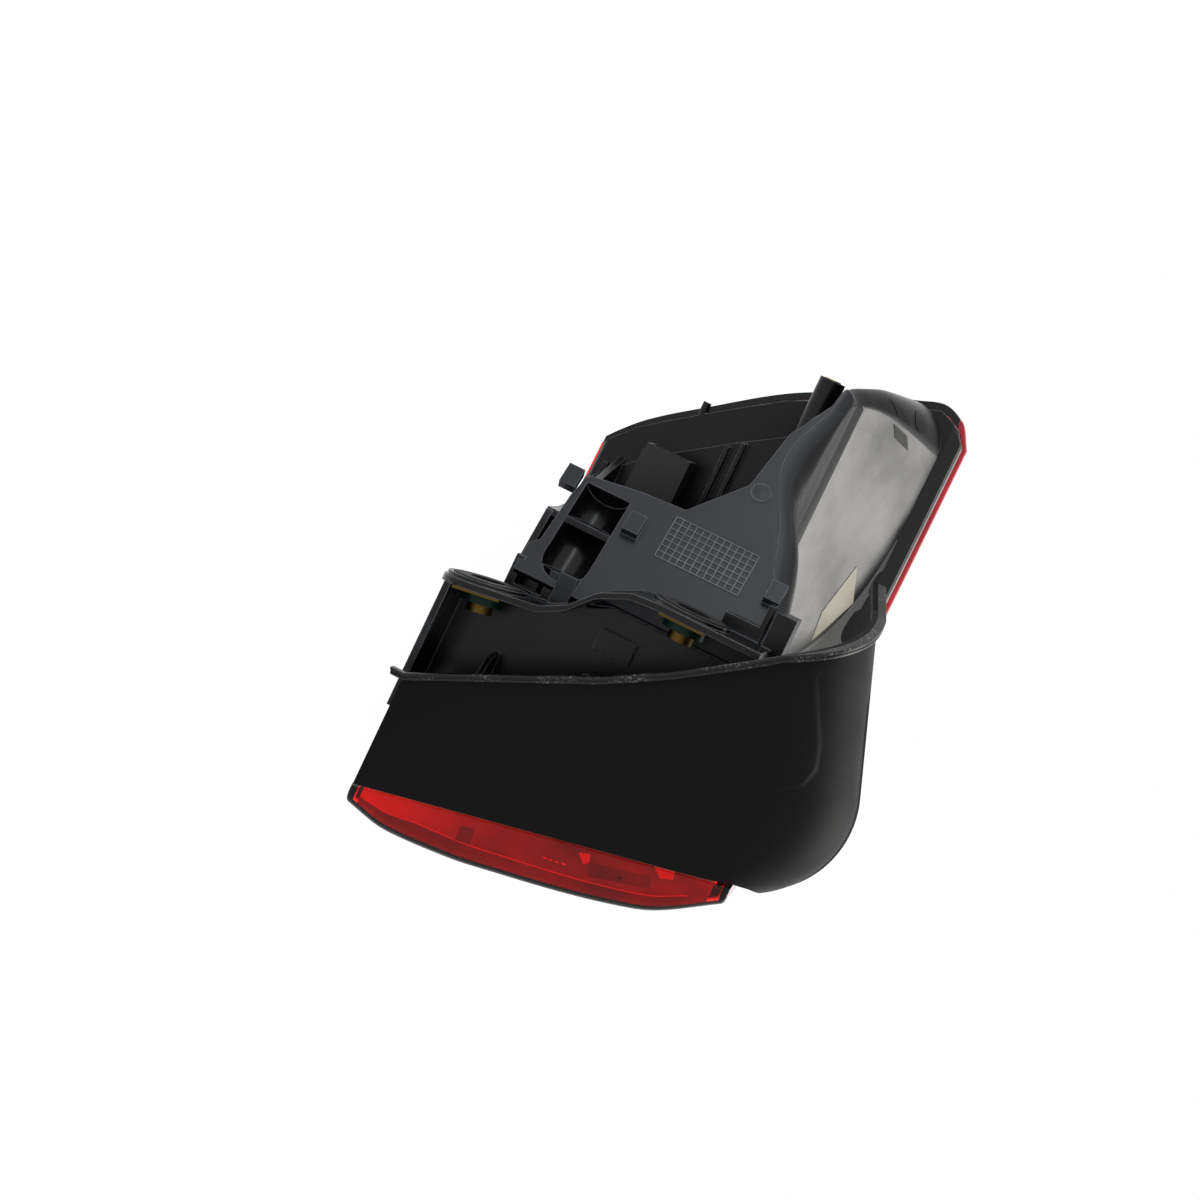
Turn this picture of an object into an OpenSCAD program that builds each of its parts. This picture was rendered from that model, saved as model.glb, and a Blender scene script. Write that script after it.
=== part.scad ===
// Right-hand outer tail lamp of a saloon: LED lamp with a red wrap-round lens, a moulded housing
// and a matt gutter panel along its inboard side. X points outboard, Y to the front of the car
// and Z up. The origin is the middle of the upper mounting pad, on its seat face.

/* [Lens] */
// Outboard reach of the lens from its inboard side
lens_reach = 240; // [225:1:255]
// Distance from the rear line of the lens to its front tip
lens_length = 256; // [240:1:270]
// Height of the lens
lens_h = 157; // [148:1:166]
// Thickness of the lens wall
lens_wall = 3; // [2:0.1:3.6]
// Depth of the skirt that the lens turns back to the housing
lens_skirt = 16; // [12:1:20]
// Radius between the inboard side and the rear face
lens_corner = 6; // [4:0.5:7]
// How full the plan curve is: 2 is an ellipse, more is squarer
lens_fullness = 3; // [2.6:0.1:3.4]
// How far the side of the lens tucks in towards its lower edge
lens_tuck = 12; // [6:1:16]
// Rise of the inboard end of the lens over its outboard end
lens_rise = 4; // [0:0.5:6]

/* [Gutter panel] */
// Thickness of the gutter panel
panel_wall = 2.5; // [2:0.1:3]
// Radius of the hump at the top of the panel
panel_hump = 43.5; // [38:0.5:46]
// How far the panel rolls over outboard at its top
panel_roll = 45; // [38:1:52]
// Length of the shelf behind the roll
panel_shelf = 22; // [12:1:30]
// How far the sealing rail stands off the panel
rail_stand = 4; // [3:0.5:5]
// Width of the sealing rail along the panel
rail_width = 3.2; // [2.6:0.2:4]

/* [Housing] */
// Thickness of the moulded walls
wall = 3; // [2.4:0.1:3.4]
// Lean of the back plate from the fore-and-aft line
plate_lean = 36.9; // [33:0.5:40]
// Depth of the pocket behind the back plate, from the seat plane
pocket_floor = 12; // [8:1:18]
// Radius of the driver flute in the back plate
flute_r = 10.5; // [9:0.5:11.5]
// Length of the driver flute
flute_length = 45; // [38:1:48]
// Diameter of the tall screw boss
boss_d = 12.5; // [11:0.5:14]
// Height of the tall screw boss
boss_h = 44; // [36:1:50]

/* [Mounting] */
// Upper pad: distance outboard from the inboard side
seat_x = 36; // [34:0.5:38]
// Upper pad: distance forward from the rear line
seat_y = 129; // [126:0.5:132]
// Upper pad: height over the lower edge
seat_z = 94; // [91:0.5:97]
// Lower pad: how far it is set back behind the upper pad
pad_step = 25; // [21:0.5:28]
// Height between the two pads
pad_pitch = 84.5; // [81:0.5:87]
// Tilt of the lower pad
pad_tilt = 8; // [0:0.5:10]
// Radius of the pads
pad_r = 17.5; // [16:0.5:18.5]
// Bore for the fixing bolts
bolt_bore = 8.5; // [7:0.5:10]
// Thickness of the sealing washer on a pad
washer_h = 2.2; // [1.6:0.2:3]

/* [Lighting] */
// Gap between the lens and the bezel behind it
bezel_gap = 11.5; // [10:0.5:14]
// Thickness of the bezel
bezel_wall = 2; // [1.6:0.1:2.4]
// Number of lamps in the stop row
stop_count = 7; // [4:1:9]
// Diameter of a stop reflector cup
cup_d = 15; // [12:0.5:16]
// Thickness of the light guides
guide_d = 5; // [4:0.5:6]
// Thickness of the circuit boards
board_h = 1.6; // [1:0.1:2]

/* [Hidden] */
$fn = 48;
fit = 0.3;
columns = 14;

// Outlines of the lens, as fractions of its height against a distance in mm
rear_line = [[0, -2], [0.13, -6], [0.3, -4.3], [0.45, -0.4], [0.62, 4.8], [0.76, 10.3], [0.83, 14], [1, 31]];
front_line = [[0, -84], [0.03, -78], [0.09, -68], [0.23, -51], [0.48, -24], [0.7, -9], [0.8, -4],
              [0.885, 0], [0.95, -4], [1, -16]];

function rear_y(z) = lookup(z / lens_h, rear_line);
function front_y(z) = lens_length + lookup(z / lens_h, front_line);
function joint_y(z) = 5.7 + 0.21 * z;
function side_x(z) = lens_reach - lens_tuck * pow(max(0, 1 - z / lens_h), 1.5);
function mix(a, b, f) = a + (b - a) * f;
function fan_share(q) = q / (q + pow(1 - pow(q, lens_fullness), 1 / lens_fullness));

// A point of the lens skin, t mm inside it, at height z: u runs from the inboard joint (0)
// along the side wall and round the corner to the front tip (1).
side_u = 0.1;
round_u = 0.16;
function side_start(t, z, shift) =
    let (r = max(lens_corner - t, 1.5)) max(joint_y(z) + shift, rear_y(z) + t + r + 2);
function plan(u, t, z, front_gap, shift) =
    let (r = max(lens_corner - t, 1.5), yr = rear_y(z) + t, a = side_x(z) - t, b = lens_length - yr)
    u <= side_u ? [t, mix(side_start(t, z, shift), yr + r, u / side_u)] :
    u <= round_u ? let (turn = 180 + 90 * (u - side_u) / (round_u - side_u))
        [t + r + r * cos(turn), yr + r + r * sin(turn)] :
    let (f0 = fan_share((t + r) / a),
         p1 = (lens_length - front_y(z) + front_gap) / b,
         f1 = fan_share(pow(1 - pow(p1, lens_fullness), 1 / lens_fullness)),
         f = mix(f0, f1, (u - round_u) / (1 - round_u)),
         n = pow(pow(f, lens_fullness) + pow(1 - f, lens_fullness), 1 / lens_fullness))
        [a * f / n, lens_length - b * (1 - f) / n];
function lens_point(u, t, z, front_gap = 0, shift = 0) =
    let (p = plan(u, t, z, front_gap, shift))
    [p[0], p[1], z + lens_rise * (1 - p[0] / lens_reach) * z / lens_h];

all_stations = concat([0, side_u, 0.12, 0.14, round_u],
                      [for (k = [1:columns]) round_u + (1 - round_u) * k / columns]);
all_levels = [0, 0.03, 0.09, 0.16, 0.3, 0.45, 0.62, 0.76, 0.83, 0.885, 0.93, 0.97, 1];
function between(list, a, b) = concat([a], [for (v = list) if (v > a + 0.004 && v < b - 0.004) v], [b]);

// Closed solid between two point grids of the same size, such as the two faces of a sheet
module sheet(front, back) {
    rows = len(front);
    cols = len(front[0]);
    size = rows * cols;
    points = concat([for (r = front) each r], [for (r = back) each r]);
    faces = concat(
        [for (i = [0:rows - 2], j = [0:cols - 2]) each let (a = i * cols + j, b = a + cols)
            [[a, a + 1, b + 1], [a, b + 1, b], [size + a, size + b + 1, size + a + 1],
             [size + a, size + b, size + b + 1]]],
        [for (j = [0:cols - 2]) each let (b = (rows - 1) * cols + j)
            [[j, size + j + 1, j + 1], [j, size + j, size + j + 1],
             [b, b + 1, size + b + 1], [b, size + b + 1, size + b]]],
        [for (i = [0:rows - 2]) each let (a = i * cols, b = a + cols, c = a + cols - 1, d = c + cols)
            [[a, b, size + b], [a, size + b, size + a], [c, size + d, d], [c, size + c, size + d]]]);
    polyhedron(points, faces, convexity = 12);
}

// Part of the lens form between two depths, two heights and two stations
module band(t1, t2, z1, z2, u1 = 0, u2 = 1, front_gap = 0, shift = 0, lift = 0) {
    us = between(all_stations, u1, u2);
    zs = [for (q = between([for (v = all_levels) v + lift], z1 / lens_h, z2 / lens_h)) q * lens_h];
    sheet([for (z = zs) [for (u = us) lens_point(u, t2, z, front_gap, shift)]],
          [for (z = zs) [for (u = us) lens_point(u, t1, z, front_gap, shift)]]);
}

// Moves a piece from the lines of the lamp to the frame of its upper mounting pad
module seated() {
    translate([-seat_x, -seat_y, -seat_z]) children();
}

module outer_lens() {
    skin = lens_wall - 0.2;
    color([0.75, 0.04, 0.03, 0.85]) seated() difference() {
        band(0, lens_skirt, 0, lens_h);
        band(skin, lens_skirt + 10, skin, lens_h - skin, 0, 1, skin, 20, 0.006);
        // Notch in the skirt for the turned edge of the gutter panel
        block(-5, 12.6, joint_y(lens_h) + 0.6, joint_y(lens_h) + 30, lens_h + 0.3, lens_h + 9);
    }
}

module lens_bond() {
    bead_w = 4;
    bead_h = 2;
    low = tray_gap - bead_h - 0.1;
    high = lens_h - tray_gap + bead_h + 0.1;
    color([0.72, 0.72, 0.7]) seated() {
        band(lens_skirt + fit, lens_skirt + bead_w, low, low + bead_h, 0.22, 1, low);
        band(lens_skirt + fit, lens_skirt + bead_w, high - bead_h, high, 0.22, 1, low);
        difference() {
            band(lens_skirt + 2 * fit, lens_skirt + bead_w - fit, low + fit, high - fit, 0.94, 1, low + fit);
            band(lens_skirt, lens_skirt + bead_w + 1, -1, lens_h + 1, 0.88, 1, tray_tip - 0.15);
        }
    }
}

// Gutter panel: h runs up the flat (0 to 1), round the roll (1 to 2) and along the shelf
hump_y = 75;
hump_fall = 20.3;
roll_start = 150;
function crest_z(y) =
    let (edge = hump_y + panel_hump * sin(hump_fall))
    y <= edge ? roll_start + sqrt(max(0, pow(panel_hump, 2) - pow(y - hump_y, 2)))
              : roll_start + panel_hump * cos(hump_fall) - tan(hump_fall) * (y - edge);
function roll_z(y) = y < 95 ? roll_start : mix(roll_start, 135, min(1, (y - 95) / 55));
function rail_z(y) = lookup(y, [[58, 0], [93, 75], [108, 101], [127, 129], [138, 144], [152, 156]]);
function panel_point(h, y, t) =
    h <= 1 ? [t, y, mix(0.5, roll_z(y), h)] :
    let (turn = 90 * min(1, h - 1), top = crest_z(y) - t)
    [t + (panel_roll - t) * (1 - cos(turn)) + max(0, h - 2) * panel_shelf / 0.4,
     y, roll_z(y) + (top - roll_z(y)) * sin(turn) - max(0, h - 2) * 8];
function rail_meet(h, low, high, n = 18) =
    let (y = (low + high) / 2, above = panel_point(h, y, 0)[2] > rail_z(y))
    n == 0 ? y : above ? rail_meet(h, y, high, n - 1) : rail_meet(h, low, y, n - 1);
function panel_rear(h) = joint_y(mix(2.5, roll_start, min(1, h))) + fit
                         + lookup(h, [[1, 0], [1.25, 2.4], [1.45, 2.4], [2, -1]]);
function panel_front(h) = h <= 1 ? rail_meet(h, 40, 152) : rail_meet(1, 40, 152) + 28 * (h - 1);
panel_rows = [0, 0.12, 0.25, 0.4, 0.5, 0.6, 0.7, 0.8, 0.9, 1, 1.12, 1.25, 1.4, 1.55, 1.7, 1.85, 2, 2.2, 2.4];
panel_cols = 14;
// The rear edge is bevelled inside where the edge of the lens slants
bevel_line = [[0, 0.8], [0.15, 0.55], [0.3, 0.15], [0.4, 0], [0.85, 0], [0.95, 0.6], [1.4, 0.7], [1.7, 0]];
function panel_row(h, t) =
    let (rear = panel_rear(h) + t * lookup(h, bevel_line))
    [for (k = [0:panel_cols]) panel_point(h, mix(rear, panel_front(h), pow(k / panel_cols, 1.5)), t)];
// Outward direction of the panel at h, and the four corners of the rail section there
function panel_out(h) = let (turn = 90 * max(0, min(1, h - 1))) [-cos(turn), 0, sin(turn)];
function rail_section(h) =
    let (edge = panel_point(max(0, h), panel_front(max(0, h)), 0) + [0, 0, 60 * min(0, h)],
         near = panel_point(max(0, h) + 0.02, panel_front(max(0, h) + 0.02), 0)
              - panel_point(max(0, h), panel_front(max(0, h)), 0),
         out = panel_out(h), back = unit(cross(near, out)))
    [edge + out * rail_stand, edge + out * rail_stand + back * rail_width,
     edge - out * panel_wall + back * rail_width, edge - out * panel_wall];
module rail() {
    rings = [for (h = concat([-0.1], panel_rows)) rail_section(h)];
    sheet([for (r = rings) [r[1], r[0]]], [for (r = rings) [r[2], r[3]]]);
}
module gutter_panel() {
    color([0.05, 0.05, 0.055]) seated() {
        sheet([for (h = panel_rows) panel_row(h, 0)], [for (h = panel_rows) panel_row(h, panel_wall)]);
        rail();
        for (z = bracket_z)
            translate([panel_wall - 0.5, joint_y(z) + 22, z + bracket_h + 0.1]) cube([13.8, 10, 2]);
    }
}

// Outline with rounded corners: each corner is [x, y, radius]
function unit(v) = v / norm(v);
function flat(p) = [p[0], p[1]];
function corner_arc(a, b, c, n = 5) =
    b[2] == 0 ? [flat(b)] :
    let (u = unit(flat(a) - flat(b)), v = unit(flat(c) - flat(b)), half = acos(u * v) / 2,
         middle = flat(b) + unit(u + v) * b[2] / sin(half),
         start = flat(b) + u * b[2] / tan(half) - middle, end = flat(b) + v * b[2] / tan(half) - middle,
         a0 = atan2(start[1], start[0]), turn = atan2(end[1], end[0]) - a0,
         sweep = turn > 180 ? turn - 360 : turn < -180 ? turn + 360 : turn)
    [for (k = [0:n]) middle + b[2] * [cos(a0 + sweep * k / n), sin(a0 + sweep * k / n)]];
function outline(c) = [for (k = [0:len(c) - 1])
    each corner_arc(c[(k + len(c) - 1) % len(c)], c[k], c[(k + 1) % len(c)])];

module along_x(x1, x2) { translate([x1, 0, 0]) rotate([90, 0, 90]) linear_extrude(x2 - x1) children(); }
module along_y(y1, y2) { translate([0, y2, 0]) rotate([90, 0, 0]) linear_extrude(y2 - y1) children(); }
module along_z(z1, z2) { translate([0, 0, z1]) linear_extrude(z2 - z1) children(); }
module block(x1, x2, y1, y2, z1, z2) { translate([x1, y1, z1]) cube([x2 - x1, y2 - y1, z2 - z1]); }
// Cylinder along Y from y1 to y2
module post(x, z, d, y1, y2) { translate([x, y2, z]) rotate([90, 0, 0]) cylinder(d = d, h = y2 - y1); }

// Leaning back plate: on it, x runs up the plate, z up the lamp and y out of its face
plate_x = seat_x + 22;
plate_y = seat_y - 7;
module on_plate() { translate([plate_x, plate_y, 0]) rotate([0, 0, 90 - plate_lean]) children(); }
plate_edge = [[-12, 14, 0], [3, 14, 1], [7, 17.5, 2], [34, 18.5, 2], [47.6, 20.8, 3], [52, 47, 0],
              [53.3, 65.7, 0.5], [80, 84.5, 8], [115, 88.6, 14], [137, 99, 10], [153, 104, 5],
              [153, 145, 0], [-8, 145, 0], [-8, 60, 0], [-12, 50, 0]];
flute_z = 32.5;
tray_gap = lens_wall + fit;
tray_tip = tray_gap + 0.5;
tray_depth = 26;
room_x1 = plate_x - 1;
room_z1 = 15.5;
pocket_x2 = lens_reach - 44;
floor_y = seat_y + pocket_floor;

// Top wall against the distance outboard: its height, the radius of its front fold, the strip
// below the fold and, past the plate, the place of its front edge behind the tip of the lens
far_x = lens_reach - 28;
top_line = [[50, 134.5], [75, 129.5], [88, 125], [95, 121.5], [101, 117], [107, 111.5], [113, 107.5],
            [121, 105.5], [135, 105], [150, 106.5], [163, 113], [180, 125], [pocket_x2, 136.5], [far_x, 147]];
fold_line = [[60, 4], [75, 12], [90, 15], [121, 14], [141, 6.2], [150, 6], [163, 7], [180, 11], [far_x, 20]];
strip_line = [[128, 4], [141, 0.8]];
front_edge = [[148, -15], [163, -10.5], [180, -7], [far_x, -5]];
top_stations = [54, 58, 63, 69, 75, 81, 88, 95, 101, 107, 113, 121, 128, 135, 141, 150, 163, 180,
                pocket_x2, far_x];
function top_z(x) = lookup(x, top_line);
function fold_r(x) = lookup(x, fold_line);
function fold_y(x) = x > 148 ? lens_length + lookup(x, front_edge)
                   : max(seat_y, plate_y + (x - plate_x) / tan(plate_lean));

// Everything under the top wall, less a drop that is given against the distance outboard
module top_region(drop) {
    polygon(concat([[-20, -40], [-20, top_z(50)]],
                   [for (x = concat([50], top_stations)) [x, top_z(x) - lookup(x, drop)]],
                   [[lens_reach + 20, top_z(far_x)], [lens_reach + 20, -40]]));
}

// Wavy mounting flange: height against distance forward, relative to the two pads
low_y = seat_y - pad_step;
low_z = seat_z - pad_pitch;
pad_drop = 1.8;
flange_line = [[low_z - 19, low_y - pad_drop - 19 * tan(pad_tilt), 0],
               [low_z + 27, low_y - pad_drop + 27 * tan(pad_tilt), 10], [low_z + 38, low_y + 8, 8],
               [low_z + 47, seat_y - 7, 12], [low_z + 60, seat_y - 1, 12], [low_z + 72, seat_y, 0],
               [129, seat_y, 0]];
module flange() {
    near_x = seat_x - pad_r - 1;
    line = [for (p = flange_line) [p[1], p[0], p[2]]];
    back = [for (k = [len(line) - 1:-1:0]) [line[k][0] - wall, line[k][1], line[k][2]]];
    intersection() {
        along_x(near_x, plate_x + 6) polygon(outline(concat(line, back)));
        along_y(low_y - 20, seat_y + 5) union() {
            translate([seat_x, low_z]) circle(r = pad_r + 1);
            translate([seat_x, low_z - pad_r - 1]) square([plate_x + 6 - seat_x, 40]);
            translate([near_x, low_z]) square([plate_x + 6 - near_x, 134 - low_z]);
        }
    }
}
module on_low_pad() { translate([seat_x, low_y - pad_drop, low_z]) rotate([-pad_tilt, 0, 0]) children(); }
module on_high_pad() { translate([seat_x, seat_y, seat_z]) children(); }
module pad_rim() {
    difference() {
        post(0, 0, 2 * pad_r, -1, washer_h - 0.4);
        post(0, 0, 2 * pad_r - 4.4, -3, washer_h + 1);
    }
}
module pad_bore() { post(0, 0, bolt_bore, -8, 8); }

// Round-ended bar of radius r along the plate, from its rounded foot to its flat head
module flute_bar(r, foot, head) {
    translate([0, 0.05, flute_z]) rotate([0, 90, 0]) rotate_extrude()
        polygon(concat([[0, head], [0, foot]],
                       [for (k = [1:5]) [r * sin(18 * k), foot + r * (1 - cos(18 * k))]], [[r, head]]));
}
module plate_form() {
    difference() {
        union() {
            intersection() {
                on_plate() along_y(-wall, 0) polygon(outline(plate_edge));
                along_y(0, 300) top_region([for (x = top_stations) [x, fold_r(x) + 1.2]]);
            }
            on_plate() intersection() {
                flute_bar(flute_r + 2.4, -11, flute_length + 2);
                translate([-4, -40, 0]) cube([60, 39.5, 80]);
            }
        }
        on_plate() flute_bar(flute_r, -8.6, flute_length - 1);
    }
}
module clip_blocks() {
    on_plate() for (b = [[36, 11.5], [28, 46], [28, 114.5]])
        translate([b[0], -1, b[1]]) cube([10.5, 5, 7.5]);
}
module towers() {
    difference() {
        block(plate_x - 4, plate_x + 10, low_y - 1, low_y + 14.5, 12.5, 33);
        post(plate_x - 5, 22.7, 13, low_y + 2, low_y + 32);
    }
    block(plate_x - 9, plate_x + 1, low_y, low_y + 16, 34, 42);
    block(plate_x - 2, plate_x + 7, seat_y - 1, seat_y + 6.5, 104, 122);
    block(plate_x - 2, plate_x + 12, seat_y - 1, seat_y + 17, 120, 122.5);
    block(plate_x - 6, plate_x + 14, seat_y - 1, seat_y + 16, 124.5, 134);
}

module tray() {
    mouth = tray_gap + wall + 0.5;
    difference() {
        band(tray_gap, tray_depth, tray_gap, lens_h - tray_gap, 0, 1, tray_tip, -1);
        band(tray_gap + wall, tray_depth - wall, tray_gap + wall, lens_h - tray_gap - wall, 0, 1,
             tray_gap + wall, -1 - wall);
        band(1, tray_gap + wall + 1, mouth, lens_h - mouth, 0, 1, mouth, -9);
        along_y(-20, floor_y) intersection() {
            translate([room_x1, room_z1]) square([pocket_x2 - room_x1, 150]);
            top_region([[0, wall]]);
        }
        // Room for the turned edge of the gutter panel
        block(0, 9, joint_y(lens_h) - 2.5, joint_y(lens_h) + 6, lens_h - 4, lens_h + 5);
    }
}
function ledge_y(z) = front_y(z) - 24;

// Line along the back of the tray at height z
function rear_path(z) = [for (k = [0:20]) let (p = plan(1 - 0.8 * k / 20, tray_depth - 1.5, z, 0, 0))
    if (p[0] > plate_x + 2) p];
function tray_back_y(x, z) = lookup(x, rear_path(z));
far_levels = [tray_gap + 1, 10, 20, 36, 60, 80, 100, 118, 134];

// Top wall over the chamber and the pocket, with the rounded fold along its front
function top_row(x, t) =
    let (r = fold_r(x), y = fold_y(x) - 0.1, z = top_z(x), back = tray_back_y(x, z - 3))
    concat([[x, y - t, z - r - lookup(x, strip_line)]],
           [for (k = [0:5]) [x, y - r + (r - t) * cos(18 * k), z - r + (r - t) * sin(18 * k)]],
           [for (k = [1:4]) [x, mix(y - r, back, k / 4), z - t]]);
module top_wall() {
    sheet([for (x = top_stations) top_row(x, wall)], [for (x = top_stations) top_row(x, 0)]);
}
// Bottom plate of the chamber
module chamber_bottom() {
    along_z(room_z1 - wall, room_z1) polygon(concat([[plate_x - 3, 20],
        [plate_x - 3, low_y - 1], [plate_x + 14, floor_y - 1], [plate_x + 28, floor_y - 1],
        [pocket_x2 + wall, floor_y + 10], [pocket_x2 + wall, 130]],
        [for (p = rear_path(14)) if (p[1] < 125) p]));
}
// Wall beside the chamber, under the mounting flange
module chamber_side() {
    along_x(plate_x - 4, plate_x - 1) polygon(concat(
        [for (z = [-4.5, 20, 46, 80, 110, 132]) [rear_y(z) + tray_depth - 2, z]],
        [[seat_y - 5, 132], [seat_y - 1, 126], [seat_y - 1, low_z + 60], [seat_y - 7, low_z + 47],
         [low_y, low_z + 27], [low_y - 5, -4.5]]));
}
// Floor of the pocket, which closes the chamber
module pocket_bottom() {
    intersection() {
        block(plate_x + 15, pocket_x2 + wall, floor_y - wall, floor_y, room_z1 - wall, top_z(far_x));
        along_y(0, 300) top_region([[75, 8], [80, 4], [88, 1.5]]);
    }
}
// Outboard wall of the pocket with its ledge, and the web at its lower end
module pocket_walls() {
    along_x(pocket_x2, pocket_x2 + wall)
        polygon(concat([for (z = far_levels) [ledge_y(z), z]],
            [for (z = [134, 118, 60, tray_gap + 1]) [tray_back_y(pocket_x2, z) + 2, z]]));
    intersection() {
        along_x(pocket_x2, lens_reach - 26) polygon(concat([for (z = far_levels) [ledge_y(z), z]],
            [for (k = [len(far_levels) - 1:-1:0]) [ledge_y(far_levels[k]) - wall, far_levels[k]]]));
        along_y(100, 260) translate([lens_reach, 0])
            polygon([[-50, 0], [-50, 140], [-25, 140], [-26, 70], [-31, 36], [-35, 0]]);
    }
    along_z(room_z1 - wall, room_z1) polygon([[plate_x + 14, floor_y - 2], [plate_x + 50, floor_y],
        [pocket_x2 + 2, 168], [pocket_x2 + 2, floor_y - 2]]);
}
// Tall boss for the third fixing, webbed to the outboard wall, and the locating nub beside it
boss_x = pocket_x2 - 10;
boss_z = 89.5;
boss_top = floor_y + 102;
insert_d = 8;
insert_h = 13;
module tall_boss() {
    post(boss_x, boss_z, boss_d, floor_y - 1, boss_top);
    block(boss_x, pocket_x2 + 1, floor_y - 1, ledge_y(boss_z) - 4, boss_z - 1.2, boss_z + 1.2);
    nub_z = 38;
    post(pocket_x2 + 11, nub_z, 4, front_y(nub_z) - tray_gap - 1.5, front_y(nub_z) + 2);
}
module pocket_ribs() {
    for (z = [57, 63.5])
        block(pocket_x2 - 9, pocket_x2 + 1, floor_y - 1, ledge_y(z) - 1, z, z + 1.8);
    block(pocket_x2 - 4, pocket_x2 + 2, floor_y - 1, ledge_y(10) + 3, 7, 9.5);
}
// Brackets that carry the gutter panel, and the rib and pad beside them
bracket_z = [22, 61, 100];
bracket_h = 2.5;
module brackets() {
    for (z = bracket_z) let (y1 = rear_y(z) + tray_depth - 2, y2 = joint_y(z) + 38)
        along_z(z, z + bracket_h) polygon([[panel_wall + fit, y1 + 8], [panel_wall + fit, y2], [30, y2 + 12],
            [40, y2 + 26], [plate_x - 3, y2 + 28], [plate_x - 3, y1], [24, y1]]);
    block(plate_x - 8, plate_x - 3, low_y - 8, low_y + 2, 60, 77);
}
// Posts inside the chamber for the control board
board_x = [100, pocket_x2 - 6];
board_posts = [[106, 26], [106, 72], [150, 72], [pocket_x2 - 12, 60]];
board_drop = 9;
module chamber_posts() {
    for (p = board_posts) post(p[0], p[1], 7, floor_y - wall - board_drop, floor_y - 1);
}
socket_x = pocket_x2 - 36;
socket_z = 27;
socket_w = 21;
socket_l = 22;
module back_form() {
    difference() {
        union() {
            tall_boss();
            pocket_ribs();
            brackets();
            chamber_posts();
            top_wall();
            chamber_bottom();
            chamber_side();
            pocket_bottom();
            pocket_walls();
            plate_form();
            flange();
            clip_blocks();
            towers();
            on_low_pad() pad_rim();
            on_high_pad() pad_rim();
            block(seat_x - pad_r, plate_x, 40, low_y - 6, -4.5, -1.5);
        }
        on_low_pad() pad_bore();
        on_high_pad() pad_bore();
        post(boss_x, boss_z, insert_d, boss_top - insert_h, boss_top + 1);
        for (p = board_posts) post(p[0], p[1], 2.6, floor_y - wall - board_drop - 1, floor_y - wall - 1);
        block(socket_x + 4, socket_x + socket_w - 4, floor_y - wall - 1, floor_y + 1,
              socket_z + 4, socket_z + socket_l - 4);
    }
}

// Posts on the back wall of the tray that carry the bezel
module bezel_seats() {
    for (z = [12.2, lens_h - 17]) intersection() {
        band(bezel_t + fit, tray_depth - 1, z - 3, z + 3, round_u, 1, bezel_edge);
        for (u = [0.3, 0.55]) at_station(u, bezel_t - 3, z) rotate([-90, 0, 0]) cylinder(d = 5, h = 20);
    }
}

module housing() {
    color([0.2, 0.21, 0.23]) seated() {
        tray();
        bezel_seats();
        back_form();
    }
}

// Spring clips that hold the tabs of the gutter panel to the brackets
module panel_clips() {
    leaf = 0.8;
    color([0.75, 0.76, 0.78]) seated() for (z = bracket_z) {
        low = z - leaf - 0.05;
        high = z + bracket_h + 2.15;
        block(7, 15, joint_y(z) + 23, joint_y(z) + 31, low, low + leaf);
        block(7, 15, joint_y(z) + 23, joint_y(z) + 31, high, high + leaf);
        difference() {
            block(16.1, 17.1, joint_y(z) + 23, joint_y(z) + 31, low, high + leaf);
            block(16, 18, joint_y(z) + 20, joint_y(z) + 40, z - 0.05, z + bracket_h + 0.05);
        }
        block(14, 17, joint_y(z) + 23, joint_y(z) + 31, high, high + leaf);
        block(14, 17, joint_y(z) + 23, joint_y(z) + 31, low, low + leaf);
    }
}

// Washer that seals a pad against the body
module pad_seal() {
    difference() {
        post(0, 0, 2 * (pad_r - 2.2 - fit), 0, washer_h);
        post(0, 0, bolt_bore + 7, -1, washer_h + 1);
    }
}
module upper_pad_seal() { color([0.08, 0.08, 0.08]) seated() on_high_pad() pad_seal(); }
module lower_pad_seal() { color([0.08, 0.08, 0.08]) seated() on_low_pad() pad_seal(); }

// Clip nut under a pad: leaf against the flange, turned over its near edge, with a threaded barrel
nut_leaf = 1.2;
barrel_d = 11.5;
barrel_h = 8;
thread_d = 5;
module clip_nut() {
    color([0.80, 0.66, 0.25]) difference() {
        union() {
            block(-pad_r + 1, 10, -wall - nut_leaf, -wall, -10, 10);
            block(-pad_r + 1, -pad_r + 6, -wall - nut_leaf, -wall, -11, 10);
            post(0, 0, barrel_d, -wall - nut_leaf - barrel_h, -wall - nut_leaf / 2);
        }
        post(0, 0, thread_d, -30, 0);
    }
}
module upper_clip_nut() { seated() on_high_pad() clip_nut(); }
module lower_clip_nut() { seated() on_low_pad() clip_nut(); }
// Nylon collar that keeps a clip nut square
module nut_collar() {
    color([0.1, 0.5, 0.38]) difference() {
        post(0, 0, barrel_d + 8, -wall - nut_leaf - 4, -wall - nut_leaf);
        post(0, 0, barrel_d + 0.2, -30, 0);
    }
}
module upper_nut_collar() { seated() on_high_pad() nut_collar(); }
module lower_nut_collar() { seated() on_low_pad() nut_collar(); }

// Threaded brass insert in the tall boss
module boss_insert() {
    color([0.78, 0.62, 0.3]) seated() difference() {
        post(boss_x, boss_z, insert_d, boss_top - insert_h, boss_top + 0.4);
        post(boss_x, boss_z, thread_d, boss_top - insert_h - 1, boss_top + 1);
    }
}

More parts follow.
